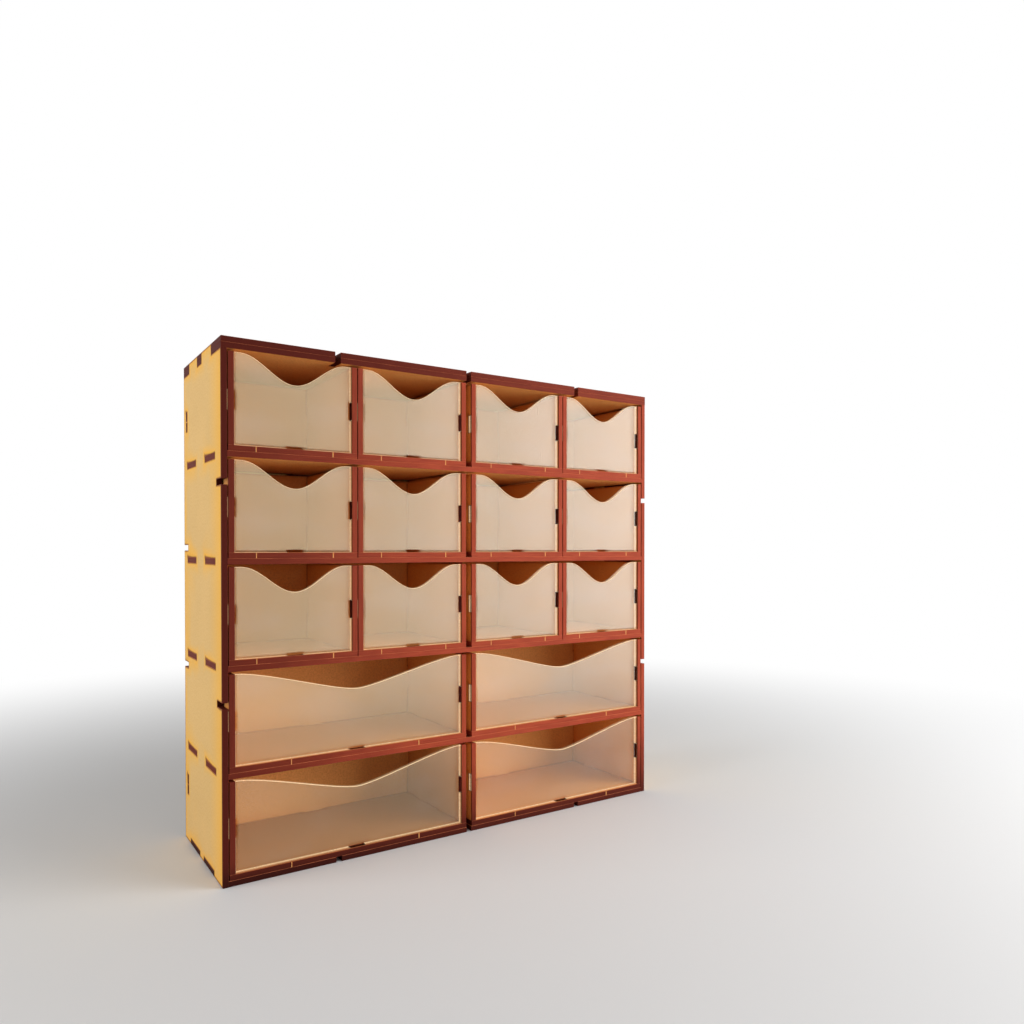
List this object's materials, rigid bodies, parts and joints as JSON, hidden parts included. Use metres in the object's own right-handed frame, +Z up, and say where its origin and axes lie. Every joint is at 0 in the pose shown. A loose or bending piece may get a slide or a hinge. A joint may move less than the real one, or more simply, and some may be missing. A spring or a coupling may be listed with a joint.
{
  "type": "drawer display stand",
  "caption": "Flat-pack fibreboard rack with rows of small drawers above rows of wide ones, each with a clear front dipped for a finger.",
  "frame": {"origin": "on the floor, in the middle of the footprint", "axes": "+X across the front to the right, +Y from the front to the back, +Z up"},
  "size_m": [0.29, 0.088, 0.28],
  "materials": {
    "fibreboard": "raw medium-density fibreboard, satin tan faces, laser-burnt edges",
    "clear_acrylic": "clear cast acrylic with polished laser-cut edges"
  },
  "bodies": {
    "case": {"side_left": "fibreboard", "side_right": "fibreboard", "top_board_1": "fibreboard", "top_board_2": "fibreboard", "bottom_board": "fibreboard", "centre_divider": "fibreboard", "back_panel": "fibreboard", "shelf_1": "fibreboard", "shelf_2": "fibreboard", "shelf_3": "fibreboard", "shelf_4": "fibreboard"},
    "drawer_r1c1": {"drawer_r1c1_floor": "fibreboard", "drawer_r1c1_walls": "fibreboard", "drawer_r1c1_front": "clear_acrylic"},
    "drawer_r1c2": {"drawer_r1c2_floor": "fibreboard", "drawer_r1c2_walls": "fibreboard", "drawer_r1c2_front": "clear_acrylic"},
    "drawer_r1c3": {"drawer_r1c3_floor": "fibreboard", "drawer_r1c3_walls": "fibreboard", "drawer_r1c3_front": "clear_acrylic"},
    "drawer_r1c4": {"drawer_r1c4_floor": "fibreboard", "drawer_r1c4_walls": "fibreboard", "drawer_r1c4_front": "clear_acrylic"},
    "drawer_r2c1": {"drawer_r2c1_floor": "fibreboard", "drawer_r2c1_walls": "fibreboard", "drawer_r2c1_front": "clear_acrylic"},
    "drawer_r2c2": {"drawer_r2c2_floor": "fibreboard", "drawer_r2c2_walls": "fibreboard", "drawer_r2c2_front": "clear_acrylic"},
    "drawer_r2c3": {"drawer_r2c3_floor": "fibreboard", "drawer_r2c3_walls": "fibreboard", "drawer_r2c3_front": "clear_acrylic"},
    "drawer_r2c4": {"drawer_r2c4_floor": "fibreboard", "drawer_r2c4_walls": "fibreboard", "drawer_r2c4_front": "clear_acrylic"},
    "drawer_r3c1": {"drawer_r3c1_floor": "fibreboard", "drawer_r3c1_walls": "fibreboard", "drawer_r3c1_front": "clear_acrylic"},
    "drawer_r3c2": {"drawer_r3c2_floor": "fibreboard", "drawer_r3c2_walls": "fibreboard", "drawer_r3c2_front": "clear_acrylic"},
    "drawer_r3c3": {"drawer_r3c3_floor": "fibreboard", "drawer_r3c3_walls": "fibreboard", "drawer_r3c3_front": "clear_acrylic"},
    "drawer_r3c4": {"drawer_r3c4_floor": "fibreboard", "drawer_r3c4_walls": "fibreboard", "drawer_r3c4_front": "clear_acrylic"},
    "drawer_r4c1": {"drawer_r4c1_floor": "fibreboard", "drawer_r4c1_walls": "fibreboard", "drawer_r4c1_front": "clear_acrylic"},
    "drawer_r4c2": {"drawer_r4c2_floor": "fibreboard", "drawer_r4c2_walls": "fibreboard", "drawer_r4c2_front": "clear_acrylic"},
    "drawer_r5c1": {"drawer_r5c1_floor": "fibreboard", "drawer_r5c1_walls": "fibreboard", "drawer_r5c1_front": "clear_acrylic"},
    "drawer_r5c2": {"drawer_r5c2_floor": "fibreboard", "drawer_r5c2_walls": "fibreboard", "drawer_r5c2_front": "clear_acrylic"}
  },
  "joints": [
    {"name": "drawer_r1c1_slide", "type": "slide", "parent": "case", "child": "drawer_r1c1", "axis": [0, -1, 0], "range_m": [0, 0.06]},
    {"name": "drawer_r1c2_slide", "type": "slide", "parent": "case", "child": "drawer_r1c2", "axis": [0, -1, 0], "range_m": [0, 0.06]},
    {"name": "drawer_r1c3_slide", "type": "slide", "parent": "case", "child": "drawer_r1c3", "axis": [0, -1, 0], "range_m": [0, 0.06]},
    {"name": "drawer_r1c4_slide", "type": "slide", "parent": "case", "child": "drawer_r1c4", "axis": [0, -1, 0], "range_m": [0, 0.06]},
    {"name": "drawer_r2c1_slide", "type": "slide", "parent": "case", "child": "drawer_r2c1", "axis": [0, -1, 0], "range_m": [0, 0.06]},
    {"name": "drawer_r2c2_slide", "type": "slide", "parent": "case", "child": "drawer_r2c2", "axis": [0, -1, 0], "range_m": [0, 0.06]},
    {"name": "drawer_r2c3_slide", "type": "slide", "parent": "case", "child": "drawer_r2c3", "axis": [0, -1, 0], "range_m": [0, 0.06]},
    {"name": "drawer_r2c4_slide", "type": "slide", "parent": "case", "child": "drawer_r2c4", "axis": [0, -1, 0], "range_m": [0, 0.06]},
    {"name": "drawer_r3c1_slide", "type": "slide", "parent": "case", "child": "drawer_r3c1", "axis": [0, -1, 0], "range_m": [0, 0.06]},
    {"name": "drawer_r3c2_slide", "type": "slide", "parent": "case", "child": "drawer_r3c2", "axis": [0, -1, 0], "range_m": [0, 0.06]},
    {"name": "drawer_r3c3_slide", "type": "slide", "parent": "case", "child": "drawer_r3c3", "axis": [0, -1, 0], "range_m": [0, 0.06]},
    {"name": "drawer_r3c4_slide", "type": "slide", "parent": "case", "child": "drawer_r3c4", "axis": [0, -1, 0], "range_m": [0, 0.06]},
    {"name": "drawer_r4c1_slide", "type": "slide", "parent": "case", "child": "drawer_r4c1", "axis": [0, -1, 0], "range_m": [0, 0.06]},
    {"name": "drawer_r4c2_slide", "type": "slide", "parent": "case", "child": "drawer_r4c2", "axis": [0, -1, 0], "range_m": [0, 0.06]},
    {"name": "drawer_r5c1_slide", "type": "slide", "parent": "case", "child": "drawer_r5c1", "axis": [0, -1, 0], "range_m": [0, 0.06]},
    {"name": "drawer_r5c2_slide", "type": "slide", "parent": "case", "child": "drawer_r5c2", "axis": [0, -1, 0], "range_m": [0, 0.06]}
  ]
}
